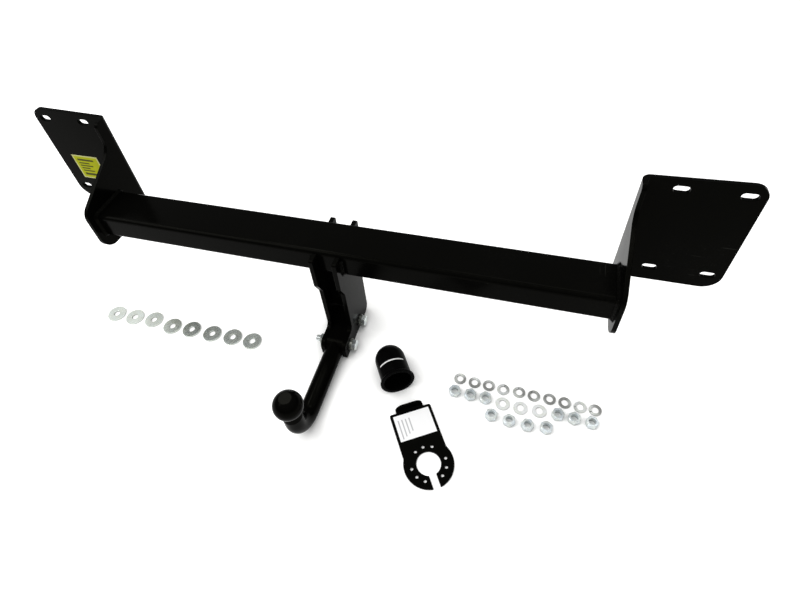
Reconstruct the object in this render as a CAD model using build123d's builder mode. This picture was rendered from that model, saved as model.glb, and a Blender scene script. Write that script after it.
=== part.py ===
from build123d import *
from math import asin, cos, degrees, radians, sin, tan
import os

os.makedirs("parts", exist_ok=True)

# Driving dimensions in mm. X runs along the crossbar, +Y towards the vehicle and +Z up.
# The origin is the centre of the bolt pattern, on the mounting faces of the two flanges.

# Crossbar, a rectangular tube between the two brackets
crossbar_length = 935.0
crossbar_depth = 80.0
crossbar_height = 50.0
crossbar_wall = 4.0
crossbar_corner_radius = 8.0
crossbar_setback = 55.6
crossbar_drop = 58.5

# Slots for the chassis bolts, long sideways, in two columns on each flange
slot_clearance = 1.0
slot_travel = 11.0
slot_pitch_height = 165.0
slot_column_pitch = 88.5
slot_column_inset = 57.5

# Brackets, each one plate bent into a slotted flange and a side arm. The margins lie
# between the slots' centres and the plate's edges, or between the tube and the arm's edges.
bracket_thickness = 7.0
bracket_bend_radius = 6.0
bracket_bottom_margin = 29.5
flange_top_margin = 21.5
flange_edge_margin = 23.0
flange_top_corner_radius = 22.0
flange_bottom_corner_radius = 29.0
post_top_margin = 16.5
post_depth = 32.0
post_top_radius = 10.0
post_foot_height = 46.0
post_foot_radius = 32.0
arm_front_margin = 15.4
arm_top_margin = 15.5
arm_top_corner_radius = 26.0
arm_bottom_corner_radius = 30.0

# Neck, two cheek plates with a closing web between them. Each plate has a lug in front of the
# tube and an ear behind it, as tall as the lug.
cheek_thickness = 8.0
cheek_heel_inset = 3.0
cheek_heel_radius = 14.0
ear_depth = 15.6
ear_radius = 4.0
lug_depth = 20.0
lug_drop = 4.5
lug_height = 63.0
lug_radius = 4.0
neck_step_depth = 12.0
neck_step_height = 25.0
neck_step_radius = 12.0
toe_height = 37.0
toe_reach = 45.4
toe_radius = 12.0
toe_foot_radius = 6.0
web_thickness = 6.0
web_tang_clearance = 33.0
web_inset = 28.0

# Swan neck and its ball. The tang is as thick as the rod and fills the gap between the cheeks.
rod_diameter = 34.0
rod_bend_radius = 45.0
collar_diameter = 29.0
collar_length = 9.0
ball_diameter = 50.0
ball_flat_diameter = 21.2
ball_forward = 221.9
ball_height_over_floor = 114.0
tang_rear = 20.0
tang_front = 22.0
tang_height = 36.0
tang_corner_radius = 16.0

# Weld beads
weld_leg = 5.0
weld_end = 6.0
weld_trim_margin = 5.0

# Fasteners, metric M12
thread_diameter = 12.0
bolt_clearance = 0.05
hex_across_flats = 19.0
bolt_head_height = 7.5
nut_height = 10.4
hex_chamfer_angle = 30.0
hex_face_inset = 0.2
bolt_end_chamfer = 1.2
bolt_projection = 9.5
front_bolt_inset = 25.0
neck_bolt_pitch = 60.0
neck_bolt_height_over_floor = 14.0
neck_washer_outer = 24.0
neck_washer_thickness = 2.5
washer_clearance = 0.3
spring_washer_outer = 21.1
spring_washer_thickness = 2.5
spring_washer_slit = 1.6

# Sticker on the back of the left flange, and the label on the socket plate
sheet_thickness = 0.3
sticker_width = 62.0
sticker_height = 58.0
sticker_inset = 106.5
sticker_drop = 30.0

# Floor that the fitting kit lies on
floor_depth = 267.0

# Ball cap, lying on its side
cap_clearance = 0.6
cap_wall = 2.4
cap_straight_length = 49.5
cap_brim_width = 3.3
cap_brim_thickness = 2.5
cap_brim_blend = 4.0
cap_dome_place = (114.1, -189.1)
cap_heading = -58.0

# Socket plate, lying flat with its tab bent up
socket_plate_thickness = 3.0
socket_plate_width = 75.0
socket_plate_length = 101.5
socket_plate_corner_radius = 3.0
socket_ring_radius = 42.0
socket_hole_diameter = 41.0
socket_screw_diameter = 5.5
socket_screw_circle_diameter = 59.0
socket_screw_step = 30.0
socket_screws_in_group = 3
socket_screw_groups = (60.0, 180.0, 300.0)
cable_slot_width = 12.5
socket_tab_width = 50.0
socket_tab_height = 17.5
socket_tab_radius = 14.0
socket_tab_bend = 3.0
socket_label_margin = 5.0
socket_label_length = 48.0
socket_label_inset = 5.0
socket_place = (224.1, -350.3)
socket_heading = -57.5

# Washers of the kit
kit_washer_clearance = 1.0
body_washer_outer = 37.0
body_washer_thickness = 3.0
plain_washer_outer = 24.0
plain_washer_thickness = 2.5

# Where the loose fasteners lie on the floor, as X and Y of each
body_washer_places = [
    (-498, -197), (-453, -196), (-408, -193), (-359, -199),
    (-314, -197), (-266, -197), (-220, -195), (-176, -195),
]
spring_washer_places = [
    (244, -182), (271, -184), (297, -184), (323, -186), (351, -185),
    (377, -186), (404, -186), (430, -187), (456, -189), (481, -189),
]
nut_places = [
    (240, -211), (268, -212), (295, -212), (420, -214), (447, -215),
    (476, -216), (310, -242), (341, -245), (372, -246), (403, -243),
]
plain_washer_places = [(326, -214), (357, -215), (389, -213)]
lying_turn = 23.0

# Worked out from the sizes above
floor = -floor_depth
crossbar_back = -crossbar_setback
crossbar_front = crossbar_back - crossbar_depth
crossbar_mid = (crossbar_back + crossbar_front) / 2
crossbar_top = crossbar_height / 2 - crossbar_drop
crossbar_underside = crossbar_top - crossbar_height
side_face = crossbar_length / 2
bracket_top = slot_pitch_height / 2 + post_top_margin
bracket_bottom = -slot_pitch_height / 2 - bracket_bottom_margin
flange_outer_top = slot_pitch_height / 2 + flange_top_margin
flange_width = slot_column_inset + slot_column_pitch + flange_edge_margin
bend_depth = bracket_thickness + bracket_bend_radius
arm_reach = crossbar_setback + crossbar_depth + arm_front_margin
arm_front_top = crossbar_top + arm_top_margin
slot_width = thread_diameter + slot_clearance
slot_length = slot_width + slot_travel
cheek_gap = rod_diameter
cheek_face = cheek_gap / 2
cheek_outer_face = cheek_face + cheek_thickness
ear_back = crossbar_back + ear_depth
heel_back = crossbar_back - cheek_heel_inset
neck_front = crossbar_front - lug_depth
step_front = neck_front + neck_step_depth
lug_top = crossbar_top - lug_drop
lug_bottom = lug_top - lug_height
step_foot = lug_bottom - neck_step_height
toe_front = step_front - toe_reach
toe_top = floor + toe_height
front_bolt_y = toe_front + front_bolt_inset
rear_bolt_y = front_bolt_y + neck_bolt_pitch
neck_bolt_z = floor + neck_bolt_height_over_floor
rod_z = floor + rod_diameter / 2
ball_y = crossbar_front - ball_forward
ball_z = floor + ball_height_over_floor
shank_radius = thread_diameter / 2
bore_radius = shank_radius + bolt_clearance
washer_bore_radius = shank_radius + washer_clearance
kit_washer_inner = thread_diameter + kit_washer_clearance
cap_inner_radius = ball_diameter / 2 + cap_clearance
cap_outer_radius = cap_inner_radius + cap_wall
cap_brim_radius = cap_outer_radius + cap_brim_width


def save(piece, name):
    """Labels a finished piece and writes its STEP file."""
    piece.label = name
    export_step(piece, f"parts/{name}.step")


def crossbar_outline():
    """Outside of the tube, seen along X, in the sketch in hand: X is depth and Y is height."""
    RectangleRounded(crossbar_depth, crossbar_height, crossbar_corner_radius)


def across(x):
    """Plane across the bar at X, with its sketch X along +Y and its sketch Y along +Z."""
    return Plane(origin=(x, 0, 0), x_dir=(0, 1, 0), z_dir=(1, 0, 0))


def bar_section(x, outwards=1):
    """Plane across the bar at X, centred on the tube, facing +X or -X."""
    return Plane(
        origin=(x, crossbar_mid, crossbar_top - crossbar_height / 2),
        x_dir=(0, outwards, 0),
        z_dir=(outwards, 0, 0),
    )


def hexagon(height, chamfer_top_only):
    """Hexagon of M12 size with its corners turned off, standing on Z = 0."""
    face_radius = hex_across_flats / 2 - hex_face_inset
    cut_radius = hex_across_flats / 2 / cos(radians(30)) + hex_face_inset
    cut_drop = (cut_radius - face_radius) * tan(radians(hex_chamfer_angle))
    with BuildPart() as body:
        with BuildSketch():
            RegularPolygon(hex_across_flats / 2, 6, major_radius=False)
        extrude(amount=height)
        with BuildSketch(Plane.XZ):
            with BuildLine():
                Polyline(
                    (face_radius, height),
                    (cut_radius, height),
                    (cut_radius, height - cut_drop),
                    close=True,
                )
            make_face()
        revolve(axis=Axis.Z, mode=Mode.SUBTRACT)
        if not chamfer_top_only:
            mirror(about=Plane.XY.offset(height / 2), mode=Mode.INTERSECT)
    return body.part


# Crossbar
with BuildPart() as crossbar:
    with BuildSketch(bar_section(-side_face)):
        crossbar_outline()
        offset(amount=-crossbar_wall, mode=Mode.SUBTRACT)
    extrude(amount=crossbar_length)
save(crossbar.part, "crossbar")


def bracket(side):
    """One bracket: flange and arm cut from a bent plate. Side is 1 at +X and -1 at -X."""
    inner_face = side * side_face
    outer_edge = side * (side_face + flange_width)
    with BuildPart() as plate:
        with BuildSketch(Plane.XY.offset(bracket_bottom)):
            with BuildLine():
                FilletPolyline(
                    (inner_face, -arm_reach),
                    (inner_face, 0),
                    (outer_edge, 0),
                    radius=bend_depth,
                )
                FilletPolyline(
                    (inner_face + side * bracket_thickness, -arm_reach),
                    (inner_face + side * bracket_thickness, -bracket_thickness),
                    (outer_edge, -bracket_thickness),
                    radius=bracket_bend_radius,
                )
                Line((inner_face, -arm_reach), (inner_face + side * bracket_thickness, -arm_reach))
                Line((outer_edge, 0), (outer_edge, -bracket_thickness))
            make_face()
        extrude(amount=flange_outer_top - bracket_bottom)
        with BuildSketch(across(inner_face)):
            with BuildLine():
                Polyline(
                    (0, bracket_bottom),
                    (-arm_reach, bracket_bottom),
                    (-arm_reach, arm_front_top),
                    (-post_depth, post_foot_height),
                    (-post_depth, bracket_top),
                    (-bend_depth, bracket_top),
                    (-bend_depth, flange_outer_top),
                    (0, flange_outer_top),
                    close=True,
                )
            make_face()
            for corner, radius in (
                ((-arm_reach, bracket_bottom), arm_bottom_corner_radius),
                ((-arm_reach, arm_front_top), arm_top_corner_radius),
                ((-post_depth, post_foot_height), post_foot_radius),
                ((-post_depth, bracket_top), post_top_radius),
            ):
                fillet(vertices().sort_by_distance(corner)[0], radius)
        extrude(amount=side * flange_width, mode=Mode.INTERSECT)
        with BuildSketch(Plane.XZ):
            with BuildLine():
                Polyline(
                    (inner_face, bracket_top),
                    (inner_face + side * bend_depth, bracket_top),
                    (outer_edge, flange_outer_top),
                    (inner_face, flange_outer_top),
                    close=True,
                )
            make_face()
        extrude(amount=bend_depth, mode=Mode.SUBTRACT)
        for height, radius in (
            (flange_outer_top, flange_top_corner_radius),
            (bracket_bottom, flange_bottom_corner_radius),
        ):
            corner = (outer_edge, -bracket_thickness / 2, height)
            fillet(plate.edges().sort_by_distance(corner)[0], radius)
        slots_middle = inner_face + side * (slot_column_inset + slot_column_pitch / 2)
        with BuildSketch(Plane.XZ):
            with Locations((slots_middle, 0)):
                with GridLocations(slot_column_pitch, slot_pitch_height, 2, 2):
                    SlotOverall(slot_length, slot_width)
        extrude(amount=bracket_thickness, mode=Mode.SUBTRACT)
    return plate.part


left_bracket = bracket(-1)
save(left_bracket, "left_bracket")
right_bracket = bracket(1)
save(right_bracket, "right_bracket")


def bar_weld(side):
    """Fillet weld around one end of the tube, against its bracket."""
    with BuildPart() as bead:
        with BuildSketch(bar_section(side * side_face, -side)):
            crossbar_outline()
            offset(amount=weld_leg)
        extrude(amount=weld_leg, taper=45)
        with BuildSketch(bar_section(side * side_face, -side)):
            crossbar_outline()
        extrude(amount=weld_leg, mode=Mode.SUBTRACT)
    return bead.part


save(bar_weld(-1), "left_bar_weld")
save(bar_weld(1), "right_bar_weld")


def cheek(inner_face):
    """One neck plate, notched around the tube, its inner face at the given X."""
    with BuildPart() as plate:
        with BuildSketch(across(inner_face)):
            with BuildLine():
                Polyline(
                    (ear_back, lug_top),
                    (crossbar_back, lug_top),
                    (crossbar_back, crossbar_underside),
                    (crossbar_front, crossbar_underside),
                    (crossbar_front, lug_top),
                    (neck_front, lug_top),
                    (neck_front, lug_bottom),
                    (step_front, step_foot),
                    (step_front, toe_top),
                    (toe_front, toe_top),
                    (toe_front, floor),
                    (heel_back, floor),
                    (heel_back, step_foot),
                    (ear_back, lug_bottom),
                    close=True,
                )
            make_face()
            for corner, radius in (
                ((ear_back, lug_top), ear_radius),
                ((neck_front, lug_top), lug_radius),
                ((neck_front, lug_bottom), lug_radius),
                ((step_front, step_foot), neck_step_radius),
                ((step_front, toe_top), neck_step_radius),
                ((toe_front, toe_top), toe_radius),
                ((toe_front, floor), toe_foot_radius),
                ((heel_back, floor), cheek_heel_radius),
                ((heel_back, step_foot), neck_step_radius),
                ((ear_back, lug_bottom), ear_radius),
            ):
                fillet(vertices().sort_by_distance(corner)[0], radius)
        extrude(amount=cheek_thickness)
        with BuildSketch(across(inner_face)):
            with Locations((rear_bolt_y, neck_bolt_z), (front_bolt_y, neck_bolt_z)):
                Circle(bore_radius)
        extrude(amount=cheek_thickness, mode=Mode.SUBTRACT)
    return plate.part


save(cheek(-cheek_outer_face), "left_cheek")
save(cheek(cheek_face), "right_cheek")


def cheek_weld(side):
    """Fillet weld along the notch of one cheek, behind, under and in front of the tube."""
    with BuildPart() as bead:
        with BuildSketch(bar_section(side * cheek_outer_face, side)):
            crossbar_outline()
            offset(amount=weld_leg)
        extrude(amount=weld_leg, taper=45)
        with BuildSketch(bar_section(side * cheek_outer_face, side)):
            crossbar_outline()
        extrude(amount=weld_leg, mode=Mode.SUBTRACT)
        trim_reach = weld_leg + weld_trim_margin
        with BuildSketch(Plane.XY.offset(lug_top - weld_end)):
            with Locations((side * cheek_outer_face, crossbar_mid)):
                Rectangle(2 * trim_reach, crossbar_depth + 2 * trim_reach)
        extrude(amount=crossbar_height, mode=Mode.SUBTRACT)
    return bead.part


save(cheek_weld(-1), "left_cheek_weld")
save(cheek_weld(1), "right_cheek_weld")

# Web between the cheeks, from the tube down to the tang
with BuildPart() as neck_web:
    web_front = step_front + web_inset
    web_height = crossbar_underside - (floor + tang_height + web_tang_clearance)
    with BuildSketch(Plane.XY.offset(crossbar_underside)):
        with Locations((0, web_front + web_thickness / 2)):
            Rectangle(cheek_gap, web_thickness)
    extrude(amount=-web_height)
save(neck_web.part, "neck_web")

# Swan neck: tang between the cheeks, rod, collar and ball in one forging
with BuildPart() as swan_neck:
    tang_back = rear_bolt_y + tang_rear
    tang_nose = front_bolt_y - tang_front
    with BuildSketch(across(-cheek_face)):
        with Locations(((tang_back + tang_nose) / 2, floor + tang_height / 2)):
            RectangleRounded(tang_back - tang_nose, tang_height, tang_corner_radius)
        with Locations((rear_bolt_y, neck_bolt_z), (front_bolt_y, neck_bolt_z)):
            Circle(bore_radius, mode=Mode.SUBTRACT)
    extrude(amount=cheek_gap)
    rod_start = tang_nose + tang_corner_radius
    collar_top = ball_z - ball_diameter / 2
    shoulder_z = collar_top - collar_length
    with BuildLine() as rod_path:
        FilletPolyline(
            (0, rod_start, rod_z),
            (0, ball_y, rod_z),
            (0, ball_y, shoulder_z),
            radius=rod_bend_radius,
        )
    with BuildSketch(Plane.XZ.offset(-rod_start)):
        with Locations((0, rod_z)):
            Circle(rod_diameter / 2)
    sweep(path=rod_path.wires()[0])
    with BuildSketch(Plane.XY.offset(shoulder_z)):
        with Locations((0, ball_y)):
            Circle(rod_diameter / 2)
    with BuildSketch(Plane.XY.offset(collar_top)):
        with Locations((0, ball_y)):
            Circle(collar_diameter / 2)
    loft()
    with BuildSketch(Plane.XY.offset(collar_top)):
        with Locations((0, ball_y)):
            Circle(collar_diameter / 2)
    extrude(amount=ball_z - collar_top)
    with Locations((0, ball_y, ball_z)):
        Sphere(ball_diameter / 2)
    flat_height = ((ball_diameter / 2) ** 2 - (ball_flat_diameter / 2) ** 2) ** 0.5
    with BuildSketch(Plane.XY.offset(ball_z + flat_height)):
        with Locations((0, ball_y)):
            Circle(ball_diameter / 2)
    extrude(amount=ball_diameter / 2, mode=Mode.SUBTRACT)
save(swan_neck.part, "swan_neck")


def washer(outer, inner, thickness):
    """Flat washer lying on Z = 0."""
    with BuildPart() as ring:
        with BuildSketch():
            Circle(outer / 2)
            Circle(inner / 2, mode=Mode.SUBTRACT)
        extrude(amount=thickness)
    return ring.part


def split_washer():
    """Spring washer lying on Z = 0, slit on a slant at +X."""
    lean = spring_washer_thickness / 2
    slit = spring_washer_slit / 2
    with BuildPart() as ring:
        with BuildSketch():
            Circle(spring_washer_outer / 2)
            Circle(washer_bore_radius, mode=Mode.SUBTRACT)
        extrude(amount=spring_washer_thickness)
        with BuildSketch(Plane.YZ):
            with BuildLine():
                Polyline(
                    (-slit - lean, 0),
                    (slit - lean, 0),
                    (slit + lean, spring_washer_thickness),
                    (-slit + lean, spring_washer_thickness),
                    close=True,
                )
            make_face()
        extrude(amount=spring_washer_outer, mode=Mode.SUBTRACT)
    return ring.part


def hex_bolt(length):
    """Hexagon bolt with its head standing on Z = 0 and its shank below."""
    head = hexagon(bolt_head_height, chamfer_top_only=True)
    with BuildPart() as bolt:
        add(head)
        with BuildSketch():
            Circle(shank_radius)
        extrude(amount=-length)
        chamfer(bolt.edges().group_by(Axis.Z)[0], bolt_end_chamfer)
    return bolt.part


def hex_nut():
    """Hexagon nut standing on Z = 0."""
    blank = hexagon(nut_height, chamfer_top_only=False)
    with BuildPart() as nut:
        add(blank)
        Hole(bore_radius)
    return nut.part


def facing(x, y, z, outwards):
    """Location of a fastener whose own +Z points along +X or -X."""
    return Plane(origin=(x, y, z), x_dir=(0, 1, 0), z_dir=(outwards, 0, 0)).location


def placed(piece, location):
    """The piece moved from its own frame to the location."""
    with BuildPart() as moved:
        with Locations(location):
            add(piece)
    return moved.part


# Neck bolts through cheeks and tang, each with its head on two washers at +X and its nut at -X
spring_washer_seat = cheek_outer_face + neck_washer_thickness
head_seat = spring_washer_seat + spring_washer_thickness
neck_bolt_length = head_seat + cheek_outer_face + nut_height + bolt_projection
neck_washer = washer(neck_washer_outer, 2 * washer_bore_radius, neck_washer_thickness)
spring_washer = split_washer()
nut = hex_nut()

for name, y in (("front", front_bolt_y), ("rear", rear_bolt_y)):
    for piece, node, x, outwards in (
        (hex_bolt(neck_bolt_length), "bolt", head_seat, 1),
        (neck_washer, "washer", cheek_outer_face, 1),
        (spring_washer, "spring_washer", spring_washer_seat, 1),
        (nut, "nut", -cheek_outer_face, -1),
    ):
        save(placed(piece, facing(x, y, neck_bolt_z, outwards)), f"{name}_neck_{node}")

# Sticker on the camera side of the left flange
with BuildPart() as rating_sticker:
    with BuildSketch(Plane.XZ.offset(bracket_thickness)):
        with Locations((-side_face - sticker_inset, -sticker_drop)):
            Rectangle(sticker_width, sticker_height)
    extrude(amount=sheet_thickness)
save(rating_sticker.part, "rating_sticker")

# Ball cap: a domed cup with a thick brim, turned about its own Z with the brim's mouth up
with BuildPart() as cap_shape:
    with BuildSketch(Plane.XZ):
        with BuildLine():
            dome = CenterArc((0, 0), cap_outer_radius, -90, 90)
            Polyline(
                dome @ 1,
                (cap_outer_radius, cap_straight_length - cap_brim_thickness - cap_brim_blend),
                (cap_brim_radius, cap_straight_length - cap_brim_thickness),
                (cap_brim_radius, cap_straight_length),
                (cap_inner_radius, cap_straight_length),
                (cap_inner_radius, 0),
            )
            inside = CenterArc((0, 0), cap_inner_radius, 0, -90)
            Line(inside @ 1, dome @ 0)
        make_face()
    revolve(axis=Axis.Z)

cap_tilt = degrees(asin((cap_brim_radius - cap_outer_radius) / (cap_straight_length - cap_brim_thickness)))
cap_plane = Plane(
    origin=(*cap_dome_place, floor + cap_outer_radius),
    x_dir=(-sin(radians(cap_heading)), cos(radians(cap_heading)), 0),
    z_dir=(
        cos(radians(cap_heading)) * cos(radians(cap_tilt)),
        sin(radians(cap_heading)) * cos(radians(cap_tilt)),
        sin(radians(cap_tilt)),
    ),
)
save(placed(cap_shape.part, cap_plane.location), "ball_cap")

# Socket plate: its own +X runs from the tab to the cable slot, with the big hole at its origin
with BuildPart() as socket_shape:
    with BuildSketch():
        with Locations((-socket_plate_length / 2, 0)):
            Rectangle(socket_plate_length, socket_plate_width)
        fillet(vertices().group_by(Axis.X)[0], socket_plate_corner_radius)
        Circle(socket_ring_radius)
        Circle(socket_hole_diameter / 2, mode=Mode.SUBTRACT)
        with Locations((socket_ring_radius, 0)):
            Rectangle(2 * socket_ring_radius, cable_slot_width, mode=Mode.SUBTRACT)
        group_span = (socket_screws_in_group - 1) * socket_screw_step
        for angle in socket_screw_groups:
            with PolarLocations(
                socket_screw_circle_diameter / 2,
                socket_screws_in_group,
                angle - group_span / 2,
                group_span,
                endpoint=True,
            ):
                Circle(socket_screw_diameter / 2, mode=Mode.SUBTRACT)
    extrude(amount=socket_plate_thickness)
    tab_root = -socket_plate_length + socket_plate_thickness
    tab_face = -socket_plate_length - socket_tab_bend
    with BuildSketch(Plane.XZ):
        with BuildLine():
            outside = FilletPolyline(
                (tab_root, 0),
                (tab_face - socket_plate_thickness, 0),
                (tab_face - socket_plate_thickness, socket_tab_height),
                radius=socket_tab_bend + socket_plate_thickness,
            )
            inside = FilletPolyline(
                (tab_root, socket_plate_thickness),
                (tab_face, socket_plate_thickness),
                (tab_face, socket_tab_height),
                radius=socket_tab_bend,
            )
            Line(outside @ 0, inside @ 0)
            Line(outside @ 1, inside @ 1)
        make_face()
    extrude(amount=socket_tab_width / 2, both=True)
    fillet(socket_shape.edges().filter_by(Axis.X).group_by(Axis.Z)[-1], socket_tab_radius)

with BuildPart() as label_shape:
    with BuildSketch(Plane.XY.offset(socket_plate_thickness)):
        with Locations((socket_label_inset + socket_label_length / 2 - socket_plate_length, 0)):
            Rectangle(socket_label_length, socket_plate_width - 2 * socket_label_margin)
    extrude(amount=sheet_thickness)

socket_location = Location((*socket_place, floor), (0, 0, socket_heading))
save(placed(socket_shape.part, socket_location), "socket_plate")
save(placed(label_shape.part, socket_location), "socket_plate_label")


def lying(piece, places):
    """Group of one fastener lying at each place on the floor, each turned a little further."""
    with BuildPart() as group:
        for index, (x, y) in enumerate(places):
            with Locations(Location((x, y, floor), (0, 0, index * lying_turn))):
                add(piece)
    return group.part


body_washer = washer(body_washer_outer, kit_washer_inner, body_washer_thickness)
plain_washer = washer(plain_washer_outer, kit_washer_inner, plain_washer_thickness)
save(lying(body_washer, body_washer_places), "body_washers")
save(lying(spring_washer, spring_washer_places), "kit_spring_washers")
save(lying(nut, nut_places), "kit_nuts")
save(lying(plain_washer, plain_washer_places), "kit_plain_washers")
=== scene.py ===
import math

import bpy
from mathutils import Matrix, Vector


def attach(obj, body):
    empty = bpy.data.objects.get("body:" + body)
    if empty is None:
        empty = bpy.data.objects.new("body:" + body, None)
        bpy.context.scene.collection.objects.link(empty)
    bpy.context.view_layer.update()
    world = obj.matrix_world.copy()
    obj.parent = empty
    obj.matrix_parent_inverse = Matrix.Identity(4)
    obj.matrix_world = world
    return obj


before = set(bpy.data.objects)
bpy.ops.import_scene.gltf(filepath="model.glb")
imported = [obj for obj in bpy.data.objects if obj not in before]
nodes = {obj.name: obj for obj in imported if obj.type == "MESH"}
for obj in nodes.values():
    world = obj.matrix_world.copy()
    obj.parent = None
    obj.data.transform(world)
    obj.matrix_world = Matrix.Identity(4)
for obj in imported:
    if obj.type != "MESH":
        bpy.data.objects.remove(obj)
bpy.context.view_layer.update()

# Sizes and places in metres, in the frame of the CAD model
floor_z = -0.267
floor_reach = 30.0
bolt_radius = 0.006
thread_pitch = 0.00175
front_bolt = (-0.164, -0.253)
rear_bolt = (-0.104, -0.253)
nut_outer_x = -0.0354
bolt_end_x = -0.0449
bolt_end_chamfer = 0.0012
thread_start_x = 0.024
thread_fade = 0.002
sticker_centre = (-0.574, -0.030)
sticker_size = (0.062, 0.058)
plate_place = (0.2241, -0.3503)
plate_heading = math.radians(-57.5)
plate_length = 0.1015
label_size = (0.048, 0.065)
label_inset = 0.005
label_centre_along = label_inset + label_size[0] / 2 - plate_length
cap_dome = (0.1141, -0.1891, floor_z + 0.028)
cap_heading = math.radians(-58.0)
cap_tilt = math.radians(4.03)
stripe_along = 0.0205
stripe_half_width = 0.0012
stripe_aside = -0.0015
stripe_half_length = 0.0215
stripe_lowest = 0.012

# Shader values that several materials share
black_specular = 0.014
bar_softness = 0.02


class Shader:
    """A node material under construction, with one call for each kind of node."""

    def __init__(self, name):
        self.material = bpy.data.materials.new(name)
        self.material.use_nodes = True
        self.tree = self.material.node_tree
        self.surface = self.tree.nodes["Principled BSDF"]

    def node(self, kind, **settings):
        made = self.tree.nodes.new(kind)
        for key, value in settings.items():
            setattr(made, key, value)
        return made

    def feed(self, value, target):
        """Links a socket to the target, or sets the target to a plain value."""
        if isinstance(value, bpy.types.NodeSocket):
            self.tree.links.new(value, target)
        else:
            target.default_value = value

    def set(self, **inputs):
        """Feeds the inputs of the main shader, named with underscores for spaces."""
        for name, value in inputs.items():
            self.feed(value, self.surface.inputs[name.replace("_", " ")])

    def place(self):
        return self.node("ShaderNodeTexCoord").outputs["Object"]

    def mapped(self, vector, location=(0, 0, 0), rotation=(0, 0, 0), scale=(1, 1, 1)):
        mapping = self.node("ShaderNodeMapping")
        self.feed(vector, mapping.inputs["Vector"])
        mapping.inputs["Location"].default_value = location
        mapping.inputs["Rotation"].default_value = rotation
        mapping.inputs["Scale"].default_value = scale
        return mapping.outputs["Vector"]

    def noise(self, vector, scale, detail=2.0):
        noise = self.node("ShaderNodeTexNoise")
        self.feed(vector, noise.inputs["Vector"])
        noise.inputs["Scale"].default_value = scale
        noise.inputs["Detail"].default_value = detail
        return noise.outputs["Fac"]

    def math(self, operation, a, b):
        step = self.node("ShaderNodeMath", operation=operation)
        self.feed(a, step.inputs[0])
        self.feed(b, step.inputs[1])
        return step.outputs[0]

    def size_of(self, value):
        step = self.node("ShaderNodeMath", operation="ABSOLUTE")
        self.feed(value, step.inputs[0])
        return step.outputs[0]

    def dot(self, vector, direction):
        product = self.node("ShaderNodeVectorMath", operation="DOT_PRODUCT")
        self.feed(vector, product.inputs[0])
        product.inputs[1].default_value = direction
        return product.outputs["Value"]

    def ramp(self, value, low, high, to_low=0.0, to_high=1.0):
        """Smooth step from to_low to to_high, while value goes from low to high."""
        step = self.node("ShaderNodeMapRange", interpolation_type="SMOOTHSTEP")
        self.feed(value, step.inputs["Value"])
        step.inputs["From Min"].default_value = low
        step.inputs["From Max"].default_value = high
        step.inputs["To Min"].default_value = to_low
        step.inputs["To Max"].default_value = to_high
        return step.outputs["Result"]

    def mix(self, factor, a, b):
        mix = self.node("ShaderNodeMix", data_type="RGBA")
        self.feed(factor, mix.inputs[0])
        self.feed(a, mix.inputs[6])
        self.feed(b, mix.inputs[7])
        return mix.outputs[2]

    def split(self, vector):
        parts = self.node("ShaderNodeSeparateXYZ")
        self.feed(vector, parts.inputs[0])
        return parts.outputs[0], parts.outputs[1], parts.outputs[2]

    def band(self, value, centre, half, soft):
        """1 where value lies within half of centre, 0 outside, with soft edges."""
        away = self.size_of(self.math("SUBTRACT", value, centre))
        return self.ramp(away, half, half + soft, 1.0, 0.0)

    def bump(self, height, distance, strength, normal=None):
        bump = self.node("ShaderNodeBump")
        bump.inputs["Strength"].default_value = strength
        bump.inputs["Distance"].default_value = distance
        self.feed(height, bump.inputs["Height"])
        if normal is not None:
            self.feed(normal, bump.inputs["Normal"])
        return bump.outputs["Normal"]

    def soft_edges(self, radius):
        bevel = self.node("ShaderNodeBevel", samples=6)
        bevel.inputs["Radius"].default_value = radius
        return bevel.outputs["Normal"]

    def painted_shade_mask(self, reach, closed_share=0.25, open_share=0.8):
        """Mask for painted shade and painted shadow: 1 deep in bores and gaps, 0 on open faces."""
        openness = self.node("ShaderNodeAmbientOcclusion", samples=8)
        openness.inputs["Distance"].default_value = reach
        return self.ramp(openness.outputs["AO"], closed_share, open_share, 1.0, 0.0)


def colour(red, green, blue):
    return (red, green, blue, 1.0)


def paint(name, ripple=False):
    """Black gloss paint with a fine orange peel, dust, and scuffs that show the grey below."""
    s = Shader(name)
    at = s.place()
    peel = s.noise(at, 900.0)
    waves = s.noise(at, 60.0)
    height = s.math("ADD", s.math("MULTIPLY", peel, 0.25), waves)
    normal = s.bump(height, 0.00012, 0.5, s.soft_edges(0.0012))
    if ripple:
        beads = s.noise(at, 320.0, 1.0)
        normal = s.bump(beads, 0.0012, 0.8, normal)
    scratch_a = s.noise(s.mapped(at, rotation=(0.2, 0.4, 0.5), scale=(12, 900, 900)), 1.0, 1.0)
    scratch_b = s.noise(s.mapped(at, rotation=(0.7, 1.1, -0.4), scale=(900, 14, 900)), 1.0, 1.0)
    patches = s.noise(at, 9.0, 3.0)
    marks = s.math("MAXIMUM", s.ramp(scratch_a, 0.74, 0.78), s.ramp(scratch_b, 0.76, 0.80))
    marks = s.math("MULTIPLY", marks, s.ramp(patches, 0.56, 0.66))
    specks = s.ramp(s.noise(at, 1400.0, 0.0), 0.74, 0.8)
    dust = s.math("MULTIPLY", specks, s.ramp(patches, 0.4, 0.7))
    worn = s.math("MAXIMUM", marks, s.math("MULTIPLY", dust, 0.35))
    s.set(
        Normal=normal,
        Base_Color=s.mix(worn, colour(0.0013, 0.0013, 0.0011), colour(0.05, 0.05, 0.045)),
        Roughness=s.ramp(patches, 0.3, 0.7, 0.12, 0.2),
        Specular_IOR_Level=black_specular,
        Specular_Tint=colour(1.0, 1.0, 0.82),
    )
    return s.material


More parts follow.
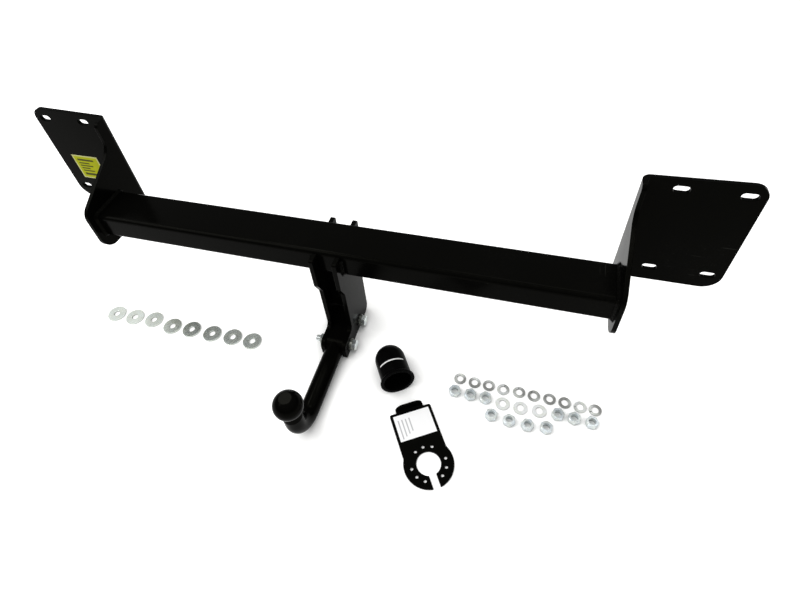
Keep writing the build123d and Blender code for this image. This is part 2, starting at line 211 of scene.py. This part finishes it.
def thread_height(s, at, axis):
    """Height of a thread around the given axis, 0 under the bolt's head."""
    y, z = axis
    x, dy, dz = s.split(s.mapped(at, location=(0, -y, -z)))
    turn = s.math("MULTIPLY", s.math("ARCTAN2", dz, dy), thread_pitch / (2 * math.pi))
    wave = s.math("PINGPONG", s.math("ADD", x, turn), thread_pitch / 2)
    height = s.math("MULTIPLY", wave, 2 / thread_pitch)
    threaded = s.ramp(x, thread_start_x, thread_start_x + thread_fade, 1.0, 0.0)
    return s.math("MULTIPLY", height, threaded)


def zinc(name, tone, dark=0.0, metal=1.0, thread_axis=None):
    """Zinc plating: pale blue grey metal with tumbling marks, and painted shade deep in bores and gaps.

    dark is how far some of the pieces darken, and the plating is duller where metal is low.
    """
    s = Shader(name)
    at = s.place()
    blotch = s.noise(at, 130.0, 3.0)
    each = s.noise(at, 34.0, 0.0)
    grain = s.noise(at, 2600.0)
    tint = s.mix(s.ramp(blotch, 0.35, 0.65, 0.0, 0.6), tone, colour(0.80, 0.83, 0.74))
    tint = s.mix(s.ramp(each, 0.36, 0.64, 0.0, dark), tint, colour(0.2, 0.2, 0.19))
    # Painted shade: the colour darkens to near black deep in bores and gaps, where shade falls.
    tint = s.mix(s.math("MULTIPLY", s.painted_shade_mask(0.008), 0.85), tint, colour(0.04, 0.05, 0.055))
    normal = s.bump(grain, 0.00004, 0.5, s.soft_edges(0.0004))
    if thread_axis:
        normal = s.bump(thread_height(s, at, thread_axis), 0.0009, 1.0, normal)
    s.set(
        Base_Color=tint,
        Metallic=metal,
        Roughness=s.ramp(grain, 0.3, 0.7, 0.22, 0.38),
        Normal=normal,
    )
    return s.material


def cap_plastic():
    """Black moulded plastic with a fine grain and one plain pale stripe across it."""
    s = Shader("cap_plastic")
    at = s.place()
    along = Vector((
        math.cos(cap_heading) * math.cos(cap_tilt),
        math.sin(cap_heading) * math.cos(cap_tilt),
        math.sin(cap_tilt),
    ))
    aside = Vector((-math.sin(cap_heading), math.cos(cap_heading), 0))
    offset = s.mapped(at, location=(-cap_dome[0], -cap_dome[1], -cap_dome[2]))
    stripe = s.band(s.dot(offset, along), stripe_along, stripe_half_width, 0.0003)
    ends = s.band(s.dot(offset, aside), stripe_aside, stripe_half_length, 0.0004)
    _, _, up = s.split(offset)
    upper = s.ramp(up, stripe_lowest, stripe_lowest + 0.001)
    stripe = s.math("MULTIPLY", s.math("MULTIPLY", stripe, ends), upper)
    grain = s.noise(at, 1800.0, 3.0)
    s.set(
        Base_Color=s.mix(stripe, colour(0.0014, 0.0014, 0.0014), colour(0.75, 0.75, 0.74)),
        Roughness=s.ramp(grain, 0.3, 0.7, 0.24, 0.36),
        Specular_IOR_Level=black_specular,
        Normal=s.bump(grain, 0.00006, 0.6, s.soft_edges(0.0010)),
    )
    return s.material


def bars(s, across, up, rows):
    """Plain printed bars, each given by its height, its two ends and its half thickness."""
    total = None
    for height, start, end, half in rows:
        length = s.band(across, (start + end) / 2, (end - start) / 2, bar_softness)
        bar = s.math("MULTIPLY", s.band(up, height, half, bar_softness), length)
        total = bar if total is None else s.math("MAXIMUM", total, bar)
    return total


def sticker_sheet():
    """Yellow printed sheet with a pale border and plain bars."""
    s = Shader("sticker_sheet")
    at = s.place()
    x, _, z = s.split(at)
    across = s.math("DIVIDE", s.math("SUBTRACT", x, sticker_centre[0]), sticker_size[0] / 2)
    up = s.math("DIVIDE", s.math("SUBTRACT", z, sticker_centre[1]), sticker_size[1] / 2)
    edge = s.math("MAXIMUM", s.size_of(across), s.size_of(up))
    rows = [
        (0.62, -0.7, 0.55, 0.07),
        (0.34, -0.7, 0.1, 0.045),
        (0.12, -0.7, 0.3, 0.045),
        (-0.1, -0.7, -0.05, 0.045),
        (-0.32, -0.7, 0.2, 0.045),
        (-0.62, -0.7, 0.65, 0.09),
    ]
    printed = s.mix(bars(s, across, up, rows), colour(0.42, 0.44, 0.006), colour(0.07, 0.07, 0.01))
    s.set(
        Base_Color=s.mix(s.ramp(edge, 0.9, 0.92), printed, colour(0.58, 0.58, 0.25)),
        Roughness=0.35,
        Specular_IOR_Level=0.03,
        Normal=s.bump(s.noise(at, 90.0), 0.0002, 0.4),
    )
    return s.material


def label_sheet():
    """White paper sheet with faint plain bars along the socket plate."""
    s = Shader("label_sheet")
    at = s.place()
    moved = s.mapped(at, location=(-plate_place[0], -plate_place[1], 0))
    x, y, _ = s.split(s.mapped(moved, rotation=(0, 0, -plate_heading)))
    along = s.math("DIVIDE", s.math("SUBTRACT", x, label_centre_along), label_size[0] / 2)
    aside = s.math("DIVIDE", y, label_size[1] / 2)
    rows = [(-0.8 + 0.2 * i, -0.6, 0.85 - 0.14 * i, 0.025) for i in range(4)]
    printed = s.mix(bars(s, along, aside, rows), colour(0.93, 0.93, 0.93), colour(0.5, 0.5, 0.51))
    s.set(
        Base_Color=printed,
        Roughness=0.5,
        Normal=s.bump(s.noise(at, 120.0), 0.0002, 0.4),
    )
    return s.material


def floor_white():
    """White floor that glows in the camera and in reflections; the glow fades close to the object,
    which paints a contact shadow there.
    """
    s = Shader("floor_white")
    path = s.node("ShaderNodeLightPath")
    reflected = s.math("MAXIMUM", path.outputs["Is Glossy Ray"], path.outputs["Is Transmission Ray"])
    seen = s.math("MAXIMUM", path.outputs["Is Camera Ray"], reflected)
    # Painted shadow: the glow drops away where the object is near, so the floor darkens around its
    # foot.
    glow_with_painted_shadow = s.math("SUBTRACT", 0.5, s.math("MULTIPLY", s.painted_shade_mask(0.08, 0.35, 0.97), 0.5))
    s.set(
        Base_Color=colour(0.9, 0.9, 0.89),
        Roughness=0.9,
        Specular_IOR_Level=0.0,
        Emission_Color=colour(1.0, 1.0, 0.99),
        Emission_Strength=s.math("MULTIPLY", seen, glow_with_painted_shadow),
    )
    return s.material


def dress(material, *names):
    """Gives the faces of the named CAD nodes the material."""
    for name in names:
        slots = nodes[name].data.materials
        slots.clear()
        slots.append(material)


def add_mesh(name, vertices, faces, material):
    mesh = bpy.data.meshes.new(name)
    mesh.from_pydata(vertices, [], faces)
    mesh.materials.append(material)
    piece = bpy.data.objects.new(name, mesh)
    bpy.context.scene.collection.objects.link(piece)
    return piece


# Materials of the CAD nodes
dress(paint("black_paint"), "crossbar", "left_bracket", "right_bracket", "left_cheek",
      "right_cheek", "neck_web", "swan_neck", "socket_plate")
dress(paint("weld_paint", ripple=True), "left_bar_weld", "right_bar_weld", "left_cheek_weld",
      "right_cheek_weld")
bolt_tone = colour(0.78, 0.84, 0.86)
dress(zinc("front_bolt_zinc", bolt_tone, thread_axis=front_bolt), "front_neck_bolt")
dress(zinc("rear_bolt_zinc", bolt_tone, thread_axis=rear_bolt), "rear_neck_bolt")
dress(zinc("neck_nut_zinc", colour(0.3, 0.34, 0.35), dark=0.5), "front_neck_nut", "rear_neck_nut")
# The neck washers' near black tone is partly their own and partly painted shade from the gap between
# the cheek and the bolt heads.
dress(zinc("neck_washer_zinc_shaded", colour(0.12, 0.12, 0.11), dark=0.3), "front_neck_washer",
      "rear_neck_washer", "front_neck_spring_washer", "rear_neck_spring_washer")
dress(zinc("nut_zinc", colour(0.76, 0.83, 0.87), dark=0.15, metal=0.4), "kit_nuts")
dress(zinc("plain_washer_zinc", colour(0.90, 0.92, 0.92), metal=0.1), "kit_plain_washers")
dress(zinc("spring_washer_zinc", colour(0.80, 0.82, 0.82), dark=0.8, metal=0.3),
      "kit_spring_washers")
dress(zinc("body_washer_zinc", colour(0.78, 0.84, 0.80), dark=0.12), "body_washers")
dress(cap_plastic(), "ball_cap")
dress(sticker_sheet(), "rating_sticker")
dress(label_sheet(), "socket_plate_label")


def thread_end(name, axis, body):
    """Helical thread ridge on the end of a bolt that stands out of its nut."""
    y, z = axis
    steps_per_turn = 40
    fade_steps = 12
    profile = ((0.0, 0.00002), (0.25, 0.00030), (0.5, 0.00034), (0.75, 0.00004))
    turns = (nut_outer_x - bolt_end_x - bolt_end_chamfer) / thread_pitch
    steps = int(turns * steps_per_turn)
    vertices = []
    for i in range(steps + 1):
        angle = 2 * math.pi * i / steps_per_turn
        start = nut_outer_x - thread_pitch * i / steps_per_turn
        fade = min(1.0, (steps - i) / fade_steps)
        for share, height in profile:
            radius = bolt_radius + height * fade
            x = start - share * thread_pitch
            vertices.append((x, y + radius * math.cos(angle), z + radius * math.sin(angle)))
    faces = []
    count = len(profile)
    for i in range(steps):
        for j in range(count - 1):
            a = i * count + j
            faces.append((a, a + 1, a + count + 1, a + count))
    piece = add_mesh(name, vertices, faces, zinc(name + "_zinc", colour(0.84, 0.88, 0.9)))
    piece.data.shade_smooth()
    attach(piece, body)


thread_end("front_thread", front_bolt, "front_bolt")
thread_end("rear_thread", rear_bolt, "rear_bolt")

# Floor
corners = [(x * floor_reach, y * floor_reach, floor_z) for x, y in ((-1, -1), (1, -1), (1, 1), (-1, 1))]
add_mesh("floor", corners, [(0, 1, 2, 3)], floor_white())

# World: a bright ceiling that fades to a dim room at the sides, and white in the camera
world = bpy.data.worlds.new("studio")
bpy.context.scene.world = world
world.use_nodes = True
sky = world.node_tree
direction = sky.nodes.new("ShaderNodeTexCoord")
direction_parts = sky.nodes.new("ShaderNodeSeparateXYZ")
sky_fade = sky.nodes.new("ShaderNodeMapRange")
sky_fade.interpolation_type = "SMOOTHSTEP"
sky_fade.inputs["From Min"].default_value = 0.1
sky_fade.inputs["From Max"].default_value = 0.9
sky_fade.inputs["To Min"].default_value = 0.2
sky_fade.inputs["To Max"].default_value = 0.95
sky.links.new(direction.outputs["Generated"], direction_parts.inputs[0])
sky.links.new(direction_parts.outputs["Z"], sky_fade.inputs["Value"])
backdrop = sky.nodes.new("ShaderNodeMath")
backdrop.operation = "MAXIMUM"
sky_path = sky.nodes.new("ShaderNodeLightPath")
sky.links.new(sky_fade.outputs["Result"], backdrop.inputs[0])
sky.links.new(sky_path.outputs["Is Camera Ray"], backdrop.inputs[1])
sky.links.new(backdrop.outputs[0], sky.nodes["Background"].inputs["Strength"])
sky.nodes["Background"].inputs["Color"].default_value = colour(1.0, 1.0, 1.0)


def lamp(name, position, target, size, power):
    """Rectangular softbox at position that faces target."""
    light = bpy.data.lights.new(name, "AREA")
    light.shape = "RECTANGLE"
    light.size, light.size_y = size
    light.energy = power
    box = bpy.data.objects.new(name, light)
    bpy.context.scene.collection.objects.link(box)
    box.location = position
    facing = Vector(target) - Vector(position)
    box.rotation_euler = facing.to_track_quat("-Z", "Y").to_euler()


lamp("overhead", (-0.9, -0.5, 2.6), (-0.9, -0.2, 0.0), (3.8, 0.05), 8)
lamp("left_key", (-1.9, -0.9, 2.4), (0.0, -0.15, -0.2), (2.1, 2.1), 42)
lamp("ceiling_light", (-1.15, 0.82, 2.5), (0.0, -0.36, -0.13), (0.5, 0.5), 7)
lamp("kit_light", (0.47, 1.3, 2.4), (0.36, -0.2, -0.26), (1.4, 0.6), 8)

# Camera, fitted to the photograph: its place, its three axes, and the shift of its centre in pixels
photo_width = 800
camera_place = (0.32073, -0.68472, 0.60014)
right = Vector((0.959698, 0.272117, -0.070228))
down = Vector((0.155722, -0.722922, -0.673152))
ahead = Vector((-0.233946, 0.635087, -0.736162))
camera_data = bpy.data.cameras.new("camera")
camera_data.sensor_width = 36.0
camera_data.lens = 23.831
camera_data.shift_x = 7.17 / photo_width
camera_data.shift_y = -34.12 / photo_width
camera_data.clip_start = 0.05
camera_data.clip_end = 100.0
camera = bpy.data.objects.new("camera", camera_data)
bpy.context.scene.collection.objects.link(camera)
turn = Matrix((right, -down, -ahead)).transposed().to_4x4()
camera.matrix_world = Matrix.Translation(camera_place) @ turn
bpy.context.scene.camera = camera

bpy.context.scene.view_settings.view_transform = "Standard"
